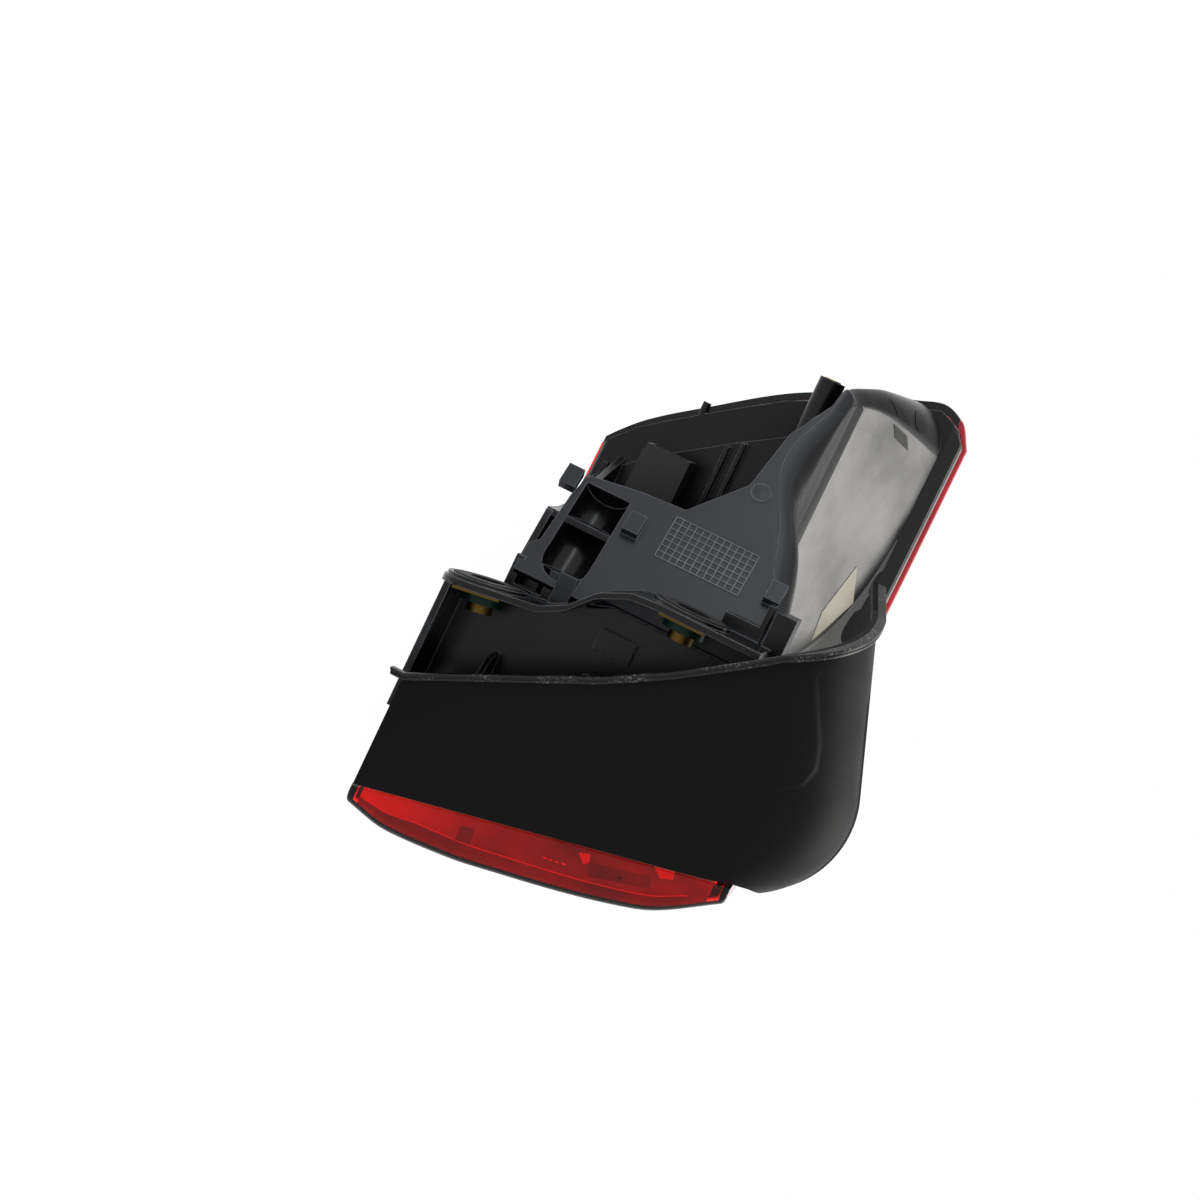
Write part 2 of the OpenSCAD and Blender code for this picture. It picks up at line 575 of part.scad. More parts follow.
// Connector in the pocket: shroud with two key ribs, and its blades
socket_h = 40;
shroud = 2;
pin_rows = [[6, 7], [6, 15], [10.5, 7], [10.5, 15], [15, 7], [15, 15]];
module connector_socket() {
    color([0.04, 0.04, 0.045]) seated() translate([socket_x, floor_y, socket_z]) difference() {
        union() {
            cube([socket_w, socket_h, socket_l]);
            for (x = [4, 13]) translate([x, 6, -1.4]) cube([4, socket_h - 10, 3]);
            translate([4.3, -wall - 0.6, 4.3]) cube([socket_w - 8.6, wall + 1, socket_l - 8.6]);
        }
        translate([shroud, 12, shroud]) cube([socket_w - 2 * shroud, socket_h, socket_l - 2 * shroud]);
        for (p = pin_rows) translate([p[0] - 0.4, -20, p[1] - 1.1]) cube([0.8, 60, 2.2]);
    }
}
pin_tail = wall + board_drop + 3;
module connector_pins() {
    color([0.85, 0.8, 0.55]) seated() translate([socket_x, floor_y, socket_z])
        for (p = pin_rows)
            translate([p[0] - 0.4, -pin_tail, p[1] - 1.1]) cube([0.8, pin_tail + 26, 2.2]);
}

// Control board on the posts of the chamber, with its screws
module control_board() {
    y1 = floor_y - wall - board_drop;
    color([0.05, 0.3, 0.15]) seated() difference() {
        union() {
            block(board_x[0], board_x[1], y1 - board_h, y1, 20, 78);
            block(112, 124, y1 - board_h - 4, y1 - board_h, 34, 46);
            block(132, 140, y1 - board_h - 3, y1 - board_h, 50, 62);
            post(150, 36, 8, y1 - board_h - 9, y1 - board_h);
        }
        for (p = pin_rows)
            translate([socket_x + p[0] - 0.45, 0, socket_z + p[1] - 1.15]) cube([0.9, 300, 2.3]);
        for (p = board_posts) post(p[0], p[1], 3.2, 0, 300);
    }
}
module board_screws() {
    y1 = floor_y - wall - board_drop;
    color([0.6, 0.6, 0.62]) seated() for (p = board_posts) {
        post(p[0], p[1], 2.6, y1 - board_h, y1 + 7);
        post(p[0], p[1], 5.6, y1 - board_h - 2, y1 - board_h);
    }
}

// Inside the lens: bezel with the windows of the lamps
bezel_t = bezel_gap + bezel_wall;
bezel_edge = 9;
u_lamp = [0.28, 0.76];
ease = 0.9;
stop_z = [lens_h - 62, lens_h - 38];
turn_z = [lens_h - 99, lens_h - 73];
guide_z = [24, lens_h - 27];
reflex_z = [36, 52];
module window(z) { band(bezel_gap - 2, bezel_t + 2, z[0], z[1], u_lamp[0], u_lamp[1]); }
module inner_bezel() {
    color([0.08, 0.08, 0.09]) seated() difference() {
        band(bezel_gap, bezel_t, bezel_edge, lens_h - bezel_edge, round_u, 1, bezel_edge);
        window(stop_z);
        window(turn_z);
    }
}
// C-shaped light guide of the tail lamp, in front of the bezel
module tail_light_guide() {
    t1 = bezel_gap - guide_d - ease;
    t2 = bezel_gap - ease;
    color([0.9, 0.35, 0.3, 0.8]) seated() {
        for (z = guide_z) band(t1, t2, z, z + guide_d, 0.22, 0.94);
        band(t1 + fit, t2 - fit, guide_z[0] + fit, guide_z[1] + guide_d - fit, 0.23, 0.25);
    }
}
module reflex_reflector() {
    t1 = lens_wall + ease;
    color([0.7, 0.02, 0.02]) seated() band(t1, t1 + 2, reflex_z[0], reflex_z[1], u_lamp[0], 0.7);
}

// Places a piece square to the lens: x along it, y inwards
function heading(u, t, z) = let (a = lens_point(u - 0.005, t, z), b = lens_point(u + 0.005, t, z))
    atan2(b[1] - a[1], b[0] - a[0]);
module at_station(u, t, z) { translate(lens_point(u, t, z)) rotate([0, 0, heading(u, t, z)]) children(); }
cup_depth = 4;
reflector_t = bezel_t + ease + 0.1;
led_t = reflector_t + cup_depth + 0.3;
lamp_board_t = led_t + 1.1;
function stop_u(k) = mix(u_lamp[0] + 0.04, u_lamp[1] - 0.04, k / (stop_count - 1));
module lamp_cover(t1, t2, z) { band(t1, t2, z[0] - 2, z[1] + 2, u_lamp[0] - 0.02, u_lamp[1] + 0.02); }
module stop_reflector() {
    middle = (stop_z[0] + stop_z[1]) / 2;
    color([0.85, 0.86, 0.88]) seated() difference() {
        union() {
            lamp_cover(reflector_t, reflector_t + 1.2, stop_z);
            for (k = [0:stop_count - 1]) at_station(stop_u(k), reflector_t, middle)
                rotate([-90, 0, 0]) cylinder(d1 = cup_d + 2, d2 = 7, h = cup_depth, $fn = 32);
        }
        for (k = [0:stop_count - 1]) at_station(stop_u(k), reflector_t, middle)
            rotate([-90, 0, 0]) translate([0, 0, -2])
                cylinder(d1 = cup_d + 1.6, d2 = 4.4, h = cup_depth + 2.2, $fn = 32);
    }
}
led_w = 3.2;
module led() { translate([-led_w / 2, -0.8, -led_w / 2]) cube([led_w, 0.8, led_w]); }
module stop_leds() {
    middle = (stop_z[0] + stop_z[1]) / 2;
    color([0.95, 0.9, 0.6]) seated() for (k = [0:stop_count - 1])
        at_station(stop_u(k), lamp_board_t - 0.15, middle) led();
}
module stop_led_board() {
    color([0.05, 0.3, 0.15]) seated()
        band(lamp_board_t, lamp_board_t + board_h, stop_z[0], stop_z[1], u_lamp[0], u_lamp[1]);
}
module turn_diffuser() {
    color([0.95, 0.75, 0.5, 0.9]) seated()
        lamp_cover(reflector_t + 0.3, reflector_t + 1.7, turn_z);
}
turn_count = 6;
function turn_u(k) = mix(u_lamp[0] + 0.05, u_lamp[1] - 0.05, k / (turn_count - 1));
module turn_leds() {
    middle = (turn_z[0] + turn_z[1]) / 2;
    color([0.95, 0.8, 0.3]) seated() for (k = [0:turn_count - 1])
        at_station(turn_u(k), lamp_board_t - 0.15, middle) led();
}
module turn_led_board() {
    color([0.05, 0.3, 0.15]) seated()
        band(lamp_board_t, lamp_board_t + board_h, turn_z[0], turn_z[1], u_lamp[0], u_lamp[1]);
}
// Aluminium heat sink behind the turn board, in the mouth of the chamber
module heat_sink() {
    base_t = lamp_board_t + board_h + ease;
    color([0.7, 0.71, 0.73]) seated() {
        band(base_t, base_t + 2, turn_z[0] + 1, turn_z[1] - 1, 0.34, 0.64);
        for (z = [turn_z[0] + 2:5.5:turn_z[1] - 3]) band(base_t + 1, base_t + 14, z, z + 1.6, 0.36, 0.62);
    }
}

housing();
gutter_panel();
outer_lens();
lens_bond();
panel_clips();
upper_pad_seal();
lower_pad_seal();
upper_clip_nut();
lower_clip_nut();
upper_nut_collar();
lower_nut_collar();
boss_insert();
connector_socket();
connector_pins();
control_board();
board_screws();
inner_bezel();
tail_light_guide();
reflex_reflector();
stop_reflector();
stop_leds();
stop_led_board();
turn_diffuser();
turn_leds();
turn_led_board();
heat_sink();
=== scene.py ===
"""Looks of the tail light cluster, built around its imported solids."""
import math

import bpy
import bmesh
import numpy as np
from mathutils import Matrix, Vector


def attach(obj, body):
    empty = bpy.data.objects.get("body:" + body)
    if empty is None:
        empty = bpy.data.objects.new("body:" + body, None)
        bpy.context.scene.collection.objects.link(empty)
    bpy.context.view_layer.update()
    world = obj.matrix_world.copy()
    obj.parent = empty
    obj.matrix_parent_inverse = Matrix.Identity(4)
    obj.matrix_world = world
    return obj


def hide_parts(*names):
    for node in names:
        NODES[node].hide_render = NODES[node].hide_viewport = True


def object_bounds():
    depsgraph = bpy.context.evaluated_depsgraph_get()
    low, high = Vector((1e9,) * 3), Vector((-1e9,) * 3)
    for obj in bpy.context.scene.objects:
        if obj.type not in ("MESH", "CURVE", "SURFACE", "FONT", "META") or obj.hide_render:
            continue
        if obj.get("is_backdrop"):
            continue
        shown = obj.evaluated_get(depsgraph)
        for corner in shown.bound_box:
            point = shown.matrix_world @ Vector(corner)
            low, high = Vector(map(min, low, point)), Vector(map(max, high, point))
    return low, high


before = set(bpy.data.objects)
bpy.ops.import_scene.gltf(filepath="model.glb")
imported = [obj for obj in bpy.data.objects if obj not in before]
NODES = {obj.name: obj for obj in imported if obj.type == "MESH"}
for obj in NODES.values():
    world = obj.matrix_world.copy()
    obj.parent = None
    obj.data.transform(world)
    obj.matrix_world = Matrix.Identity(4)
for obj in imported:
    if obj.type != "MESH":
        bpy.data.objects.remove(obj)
cad_low, cad_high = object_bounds()

# The lamp's own lines are in mm: x outboard from the lens's inboard side, y forward from about its rear line
# and z up from its lower edge. SEAT is where the model's origin, the upper pad's bore, lies in them.
SEAT = (36.0, 129.0, 94.0)
MM = 1000


def point(x, y, z):
    """A point given in the lamp's own lines (mm) in the frame of the model (m)."""
    return Vector(((x - SEAT[0]) / MM, (y - SEAT[1]) / MM, (z - SEAT[2]) / MM))


# The housing's leaning plate: its foot, its angle to the y axis, and the ways along it and out of its face
PLATE_FOOT = (58.0, 122.0)
PLATE_LEAN = math.radians(36.9)
PLATE_ALONG = (math.sin(PLATE_LEAN), math.cos(PLATE_LEAN))
PLATE_OUT = (-math.cos(PLATE_LEAN), math.sin(PLATE_LEAN))


def on_plate(s, z, out):
    """A point s along the leaning plate from its foot, at height z and out of its face."""
    x = PLATE_FOOT[0] + PLATE_ALONG[0] * s + PLATE_OUT[0] * out
    y = PLATE_FOOT[1] + PLATE_ALONG[1] * s + PLATE_OUT[1] * out
    return x, y, z


# Camera, as the photograph has it: the pixel where the zero of the lamp's lines shows, and how far off it is
PHOTO_PX = 1200
FOCAL_PX = 3100.0
REFERENCE_PX = (345.0, 797.0)
DISTANCE = 1292.0
SENSOR = 36
LEAN = math.radians(5.5)
DROP = math.radians(8.0)
TWIST = math.radians(25.5)
look = Vector((math.cos(DROP) * math.cos(LEAN), -math.sin(LEAN), -math.sin(DROP) * math.cos(LEAN)))
level_up = (Vector((0, 1, 0)) - look * look.y).normalized()
level_right = look.cross(level_up)
right = math.cos(TWIST) * level_right + math.sin(TWIST) * level_up
up = -math.sin(TWIST) * level_right + math.cos(TWIST) * level_up
aside = (REFERENCE_PX[0] - PHOTO_PX / 2) / FOCAL_PX
below = (REFERENCE_PX[1] - PHOTO_PX / 2) / FOCAL_PX
eye = point(*(-DISTANCE * (look + right * aside - up * below)))
camera = bpy.data.cameras.new("camera")
camera.sensor_width = SENSOR
camera.lens = SENSOR * FOCAL_PX / PHOTO_PX
camera.clip_start = 0.05
camera.clip_end = 50
camera_object = bpy.data.objects.new("camera", camera)
bpy.context.scene.collection.objects.link(camera_object)
camera_object.matrix_world = Matrix((
    (right.x, up.x, -look.x, eye.x), (right.y, up.y, -look.y, eye.y),
    (right.z, up.z, -look.z, eye.z), (0, 0, 0, 1)))
bpy.context.scene.camera = camera_object
bpy.context.scene.view_settings.view_transform = "Standard"


# Materials
def srgb(r, g, b):
    """A colour given as a screen shows it, 0 to 255, in linear values."""
    def one(c):
        c = c / 255
        return c / 12.92 if c <= 0.04045 else ((c + 0.055) / 1.055) ** 2.4
    return (one(r), one(g), one(b), 1.0)


class Nodes:
    """A node tree, with short ways to add nodes and to wire them."""

    def __init__(self, tree):
        self.tree = tree

    def node(self, kind, links=(), **props):
        """Adds a node; links gives an input its value, or the output that feeds it."""
        n = self.tree.nodes.new(kind)
        for key, value in props.items():
            setattr(n, key, value)
        for socket, source in dict(links).items():
            if isinstance(source, (int, float, tuple)):
                n.inputs[socket].default_value = source
            else:
                self.tree.links.new(source, n.inputs[socket])
        return n

    def math(self, operation, a, b):
        return self.node("ShaderNodeMath", {0: a, 1: b}, operation=operation).outputs[0]

    def weigh(self, a, share_a, b, share_b):
        """The sum of two fields, each by its share."""
        return self.math("ADD", self.math("MULTIPLY", a, share_a), self.math("MULTIPLY", b, share_b))

    def seen(self):
        """1 for what is seen straight, mirrored or through the lens, and 0 for what only gives light."""
        path = self.node("ShaderNodeLightPath").outputs
        mirrored = self.math("MAXIMUM", path["Is Camera Ray"], path["Is Glossy Ray"])
        return self.math("MAXIMUM", mirrored, path["Is Transmission Ray"])


class Shader(Nodes):
    """A material with a principled shader, and fields to wire to it."""

    def __init__(self, name, **values):
        self.material = bpy.data.materials.new(name)
        self.material.use_nodes = True
        super().__init__(self.material.node_tree)
        self.out = self.tree.nodes["Material Output"]
        self.bsdf = self.tree.nodes["Principled BSDF"]
        self.coords = self.tree.nodes.new("ShaderNodeTexCoord").outputs["Object"]
        for key, value in values.items():
            self.bsdf.inputs[key.replace("_", " ")].default_value = value

    def noise(self, scale, detail=3.0, rough=0.5, stretch=None):
        vector = self.coords
        if stretch:
            vector = self.node("ShaderNodeMapping", {"Vector": vector, "Scale": stretch}).outputs[0]
        values = {"Vector": vector, "Scale": scale, "Detail": detail, "Roughness": rough}
        return self.node("ShaderNodeTexNoise", values).outputs["Fac"]

    def ramp(self, source, low, high, a, b):
        """Maps source from low..high to the numbers or colours a..b."""
        if isinstance(a, tuple):
            n = self.node("ShaderNodeValToRGB", {"Fac": source})
            first, last = n.color_ramp.elements
            first.position, last.position = low, high
            first.color, last.color = a, b
            return n.outputs[0]
        values = {"Value": source, "From Min": low, "From Max": high, "To Min": a, "To Max": b}
        return self.node("ShaderNodeMapRange", values).outputs[0]

    def link(self, source, name):
        self.tree.links.new(source, self.bsdf.inputs[name])

    def bump(self, height, strength, distance, **more):
        values = {"Height": height, "Strength": strength, "Distance": distance, **more}
        self.link(self.node("ShaderNodeBump", values).outputs[0], "Normal")


def shade(colour, factor):
    return tuple(c * factor for c in colour[:3]) + (1.0,)


FINE_GRAIN = 900
SCRATCHES = {"scale": 60, "detail": 6, "rough": 0.7, "stretch": (1.0, 9.0, 1.0)}


def plastic(name, colour, rough, grain=FINE_GRAIN, depth=0.00004, specular=0.5, tint=0.2):
    """Moulded plastic: fine grain, uneven gloss and a faint change of colour."""
    s = Shader(name, Specular_IOR_Level=specular)
    broad = s.noise(28, 4)
    fine = s.noise(grain, 2)
    s.link(s.ramp(broad, 0.35, 0.65, shade(colour, 1 - tint), shade(colour, 1 + tint)), "Base Color")
    s.link(s.ramp(s.weigh(broad, 0.6, fine, 0.4), 0.3, 0.7, rough - 0.06, rough + 0.08), "Roughness")
    s.bump(fine, 0.5, depth)
    return s.material


def moulding(name, black, plate, worn, rough):
    """The housing: glossy black, its leaning plate greyer as a painted sheen and more satin, with edges
    lighter from wear and painted highlight.
    """
    s = Shader(name, Specular_IOR_Level=0.24)
    foot = point(*PLATE_FOOT, 0)
    out = s.node("ShaderNodeVectorMath", {0: s.coords, 1: (*PLATE_OUT, 0.0)}, operation="DOT_PRODUCT")
    offset = s.math("ADD", out.outputs["Value"], -(PLATE_OUT[0] * foot.x + PLATE_OUT[1] * foot.y))
    # near picks out the leaning plate's face, which is painted greyer as a painted sheen of the light from
    # above
    near = s.math("MULTIPLY", s.ramp(offset, -0.0016, -0.0006, 0.0, 1.0),
                  s.ramp(offset, 0.006, 0.0075, 1.0, 0.0))
    broad = s.noise(22, 5)
    cloud = s.ramp(broad, 0.3, 0.7, 0.75, 1.25)
    spread = s.node("ShaderNodeCombineXYZ", {0: cloud, 1: cloud, 2: cloud})
    colour = s.node("ShaderNodeMix", {0: near, 6: black, 7: plate}, data_type="RGBA")
    tinted = s.node("ShaderNodeVectorMath", {0: colour.outputs[2], 1: spread.outputs[0]},
                    operation="MULTIPLY")

    # An edge is where the normal over a small radius turns away from the face's own
    edge = s.node("ShaderNodeBevel", {"Radius": 0.0008}, samples=6).outputs[0]
    face = s.node("ShaderNodeNewGeometry").outputs["Normal"]
    turned = s.node("ShaderNodeVectorMath", {0: edge, 1: face}, operation="DOT_PRODUCT").outputs["Value"]
    patches = s.ramp(s.noise(90, 4), 0.3, 0.6, 0.35, 1.0)
    # rubbed lightens every edge towards the edge colour: partly real wear, partly a painted highlight
    rubbed = s.math("MULTIPLY", s.ramp(turned, 0.985, 0.84, 0.0, 0.85), patches)
    final = s.node("ShaderNodeMix", {0: rubbed, 6: tinted.outputs[0], 7: worn}, data_type="RGBA")
    s.link(final.outputs[2], "Base Color")

    fine = s.noise(FINE_GRAIN, 2)
    uneven = s.ramp(s.weigh(broad, 0.7, fine, 0.3), 0.3, 0.7, rough - 0.07, rough + 0.09)
    s.link(s.math("ADD", uneven, s.math("MULTIPLY", near, 0.1)), "Roughness")
    s.bump(s.weigh(fine, 0.6, s.noise(**SCRATCHES), 0.3), 0.5, 0.00003, Normal=edge)
    return s.material


def polished(name, dark, pale):
    """Glossy moulding with long flow streaks that break up what it mirrors."""
    s = Shader(name, Specular_IOR_Level=0.85)
    flow = s.noise(26, 4, 0.55, stretch=(0.45, 1.0, 2.2))
    streak = s.noise(9, 3, 0.5, stretch=(0.3, 1.6, 2.5))
    s.link(s.ramp(streak, 0.35, 0.65, dark, pale), "Base Color")
    rough = s.math("ADD", s.ramp(flow, 0.35, 0.65, 0.16, 0.36), s.ramp(streak, 0.35, 0.65, 0.0, 0.1))
    s.link(rough, "Roughness")
    s.bump(s.weigh(flow, 0.35, streak, 1.0), 0.6, 0.0022)
    return s.material


def side_painted_light(name, bright, deep):
    """Reflector behind the inboard side, its colour painted light: brightest at its lower end, deeper and
    uneven further up.
    """
    s = Shader(name, Specular_IOR_Level=0.3)
    height = s.node("ShaderNodeSeparateXYZ", {0: s.coords}).outputs[2]
    wave = s.noise(60, 2, stretch=(1.0, 1.0, 0.5))
    # level is the painted light's falloff, from bright at the lower end to deep further up
    level = s.math("ADD", s.ramp(height, -0.085, -0.03, 0.0, 0.75), s.ramp(wave, 0.3, 0.7, -0.15, 0.2))
    s.link(s.ramp(level, 0.0, 0.95, bright, deep), "Base Color")
    fine = s.noise(240, 2)
    s.link(s.ramp(fine, 0.3, 0.7, 0.18, 0.34), "Roughness")
    s.bump(fine, 0.4, 0.0001)
    return s.material


def worn_rail(name, black, worn):
    """Black sealing rail with rubbed, whitish streaks."""
    s = Shader(name, Specular_IOR_Level=0.3)
    patches = s.ramp(s.noise(70, 3), 0.42, 0.62, 0.0, 1.0)
    specks = s.ramp(s.noise(FINE_GRAIN, 3, 0.7), 0.52, 0.66, 0.0, 1.0)
    rubbed = s.math("MULTIPLY", patches, specks)
    s.link(s.ramp(rubbed, 0.1, 1.0, black, worn), "Base Color")
    s.link(s.ramp(rubbed, 0.0, 1.0, 0.28, 0.6), "Roughness")
    s.bump(s.noise(700, 3), 0.5, 0.00005)
    return s.material


def metal(name, colour, rough, brushed=(1.0, 1.0, 1.0), scale=300):
    """Metal with faint lines, drawn out the way that it is brushed."""
    s = Shader(name, Metallic=1.0)
    lines = s.noise(scale, 3, 0.6, stretch=brushed)
    s.link(s.ramp(lines, 0.3, 0.7, shade(colour, 0.8), colour), "Base Color")
    s.link(s.ramp(lines, 0.3, 0.7, rough - 0.08, rough + 0.1), "Roughness")
    s.bump(lines, 0.3, 0.00003)
    return s.material


# Below acrylic's real index of refraction, so that the white surround's mirror image doesn't wash the red out
CLEAR_IOR = 1.28


def clear(name, colour, rough):
    """Clear coloured plastic with a faint waviness."""
    s = Shader(name, Base_Color=colour, Roughness=rough, IOR=CLEAR_IOR, Transmission_Weight=1.0,
               Specular_IOR_Level=0.2)
    s.bump(s.noise(120, 2), 0.3, 0.00003)
    return s.material


LOOK = {
    # The housing's plate colour is a painted sheen, and its edge colour is wear and painted highlight
    "housing": moulding("housing_plastic", srgb(13, 14, 16), srgb(44, 47, 52), srgb(158, 162, 168), 0.24),
    "sheen": polished("top_wall_gloss", srgb(14, 14, 15), srgb(40, 40, 41)),
    # The valley fillet's grey colours are a painted reflection of the bright surround
    "valley": polished("valley_painted_reflection", srgb(40, 40, 40), srgb(104, 103, 99)),
    "mark": plastic("worn_mark", srgb(118, 121, 124), 0.4, grain=500, specular=0.3),
    "pale_spot": plastic("pale_patch_white", srgb(196, 192, 176), 0.5, grain=300, specular=0.3),
    "dark": plastic("recess_painted_shade", srgb(6, 6, 7), 0.3, grain=500, specular=0.2),
    "rail": worn_rail("rail_worn", srgb(17, 17, 18), srgb(150, 150, 146)),
    "rim": plastic("rim_black", srgb(8, 8, 9), 0.2, grain=500, specular=0.3),
    "panel": plastic("panel_plastic", srgb(13, 13, 14), 0.5, grain=2600, depth=0.00005, specular=0.1,
                     tint=0.12),
    "lens": clear("lens_red", srgb(247, 48, 36), 0.03),
    "skirt": plastic("skirt_edge_red", srgb(214, 62, 74), 0.45, grain=500, specular=0.3),
    "glow": side_painted_light("side_reflector_painted_light_red", srgb(255, 190, 160), srgb(128, 30, 24)),
    "maroon": plastic("corner_painted_shade_red", srgb(128, 26, 22), 0.25, grain=200, specular=0.4, tint=0.5),
    "spark": plastic("optic_painted_glint", srgb(255, 190, 170), 0.3, grain=300),
    "bond": plastic("bond_grey", srgb(165, 165, 160), 0.45, grain=500),
    "rubber": plastic("seal_black", srgb(22, 22, 23), 0.6, grain=700, specular=0.3),
    "spring": metal("spring_steel", srgb(190, 192, 196), 0.35, (1.0, 8.0, 1.0)),
    "zinc": metal("yellow_zinc", srgb(96, 78, 38), 0.45),
    "green": plastic("green_nylon", srgb(5, 44, 34), 0.35, specular=0.15),
    "brass": metal("brass", srgb(196, 160, 92), 0.3),
    "socket": plastic("connector_black", srgb(18, 18, 20), 0.45),
    "tin": metal("tinned_blade", srgb(205, 200, 180), 0.3),
    "board": plastic("circuit_board", srgb(16, 84, 44), 0.3, grain=300),
    "steel": metal("zinc_screw", srgb(180, 182, 186), 0.35),
    "bezel": plastic("bezel_gloss", srgb(26, 26, 28), 0.16),
    "guide": clear("guide_acrylic", srgb(250, 120, 105), 0.15),
    "reflex": clear("reflex_red", srgb(200, 8, 10), 0.12),
    "chrome": metal("metallised", srgb(222, 224, 228), 0.1, scale=60),
    "led": plastic("led_package", srgb(235, 222, 160), 0.35),
    "amber": plastic("diffuser_amber", srgb(232, 150, 60), 0.4),
    "alloy": metal("heat_sink_metal", srgb(198, 200, 204), 0.35, (1.0, 1.0, 10.0)),
}
NODE_LOOK = {
    "housing": "housing", "gutter_panel": "panel", "outer_lens": "lens", "lens_bond": "bond",
    "panel_clips": "spring", "upper_pad_seal": "rubber", "lower_pad_seal": "rubber",
    "upper_clip_nut": "zinc", "lower_clip_nut": "zinc", "upper_nut_collar": "green",
    "lower_nut_collar": "green", "boss_insert": "brass", "connector_socket": "socket",
    "connector_pins": "tin", "control_board": "board", "board_screws": "steel", "inner_bezel": "bezel",
    "tail_light_guide": "guide", "reflex_reflector": "reflex", "stop_reflector": "chrome",
    "stop_leds": "led", "stop_led_board": "board", "turn_diffuser": "amber", "turn_leds": "led",
    "turn_led_board": "board", "heat_sink": "alloy"}
WELD = 0.000002
SMOOTH_ANGLE = math.radians(32)


def smooth_group():
    """Joins a mesh's split corners and shades it smooth up to SMOOTH_ANGLE."""
    g = bpy.data.node_groups.new("smooth_by_angle", "GeometryNodeTree")
    g.interface.new_socket("Geometry", in_out="INPUT", socket_type="NodeSocketGeometry")
    g.interface.new_socket("Geometry", in_out="OUTPUT", socket_type="NodeSocketGeometry")
    start = g.nodes.new("NodeGroupInput")
    end = g.nodes.new("NodeGroupOutput")
    merge = g.nodes.new("GeometryNodeMergeByDistance")
    merge.inputs["Distance"].default_value = WELD
    faces = g.nodes.new("GeometryNodeSetShadeSmooth")
    edges = g.nodes.new("GeometryNodeSetShadeSmooth")
    edges.domain = "EDGE"
    edges.inputs["Shade Smooth"].default_value = False
    steep = g.nodes.new("GeometryNodeInputMeshEdgeAngle")
    above = g.nodes.new("FunctionNodeCompare")
    above.inputs[1].default_value = SMOOTH_ANGLE
    g.links.new(start.outputs[0], merge.inputs["Geometry"])
    g.links.new(merge.outputs[0], faces.inputs["Geometry"])
    g.links.new(faces.outputs[0], edges.inputs["Geometry"])
    g.links.new(steep.outputs["Unsigned Angle"], above.inputs[0])
    g.links.new(above.outputs[0], edges.inputs["Selection"])
    g.links.new(edges.outputs[0], end.inputs[0])
    return g


SMOOTH = smooth_group()


def dress(obj, material):
    """Gives a node its material and smooth shading."""
    obj.data.materials.clear()
    obj.data.materials.append(material)
    if "custom_normal" in obj.data.attributes:
        obj.data.attributes.remove(obj.data.attributes["custom_normal"])
    obj.modifiers.new("smooth", "NODES").node_group = SMOOTH


for node_name, obj in NODES.items():
    dress(obj, LOOK[NODE_LOOK[node_name]])


# Tools for the fine forms
def curve(points):
    """A smooth curve through points that never overshoots them."""
    xs, ys = np.array(points, float).T
    slope = np.diff(ys) / np.diff(xs)
    tangent = np.concatenate(([slope[0]], np.zeros(len(xs) - 2), [slope[-1]]))
    for k in range(1, len(xs) - 1):
        if slope[k - 1] * slope[k] > 0:
            tangent[k] = 2 * slope[k - 1] * slope[k] / (slope[k - 1] + slope[k])

    def value(x):
        x = np.clip(x, xs[0], xs[-1])
        k = np.clip(np.searchsorted(xs, x) - 1, 0, len(xs) - 2)
        h = xs[k + 1] - xs[k]
        t = (x - xs[k]) / h
        ends = (2 * t**3 - 3 * t**2 + 1) * ys[k] + (3 * t**2 - 2 * t**3) * ys[k + 1]
        return ends + (t**3 - 2 * t**2 + t) * h * tangent[k] + (t**3 - t**2) * h * tangent[k + 1]
    return value


def look_up(v, table):
    return float(np.interp(v, [a for a, _ in table], [b for _, b in table]))


def mix(a, b, f):
    return a + (b - a) * f


def steps(a, b, count):
    return [mix(a, b, k / count) for k in range(count + 1)]


def circle(count):
    return np.linspace(0, 2 * math.pi, count + 1)[:-1]


def add_piece(name, mesh, material, thickness=0.0):
    """Puts a mesh into the scene as a piece that rides on the lamp, thickened by so many mm."""
    bm = bmesh.new()
    bm.from_mesh(mesh)
    bmesh.ops.remove_doubles(bm, verts=bm.verts, dist=WELD / 2)
    bmesh.ops.recalc_face_normals(bm, faces=bm.faces)
    bm.to_mesh(mesh)
    bm.free()
    mesh.materials.append(material)
    obj = bpy.data.objects.new(name, mesh)
    bpy.context.scene.collection.objects.link(obj)
    if thickness:
        shell = obj.modifiers.new("shell", "SOLIDIFY")
        shell.thickness = thickness / MM
        shell.offset = 0.0
    obj.modifiers.new("smooth", "NODES").node_group = SMOOTH
    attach(obj, "root")
    return obj


def grid_piece(name, rows, material, closed=False, thickness=0.0, caps=False):
    """A mesh through rows of points in lamp lines; closed joins each row's end to its start."""
    count, size = len(rows), len(rows[0])
    points = [point(*p) for row in rows for p in row]
    faces = []
    for i in range(count - 1):
        for j in range(size if closed else size - 1):
            a, b = i * size + j, i * size + (j + 1) % size
            faces.append((a, b, b + size, a + size))
    if caps:
        faces.append(tuple(range(size - 1, -1, -1)))
        faces.append(tuple(range((count - 1) * size, count * size)))
    mesh = bpy.data.meshes.new(name)
    mesh.from_pydata(points, [], faces)
    return add_piece(name, mesh, material, thickness)


def bar(name, rows, material):
    """A solid bar through sections of points, closed at both ends."""
    return grid_piece(name, rows, material, closed=True, caps=True)


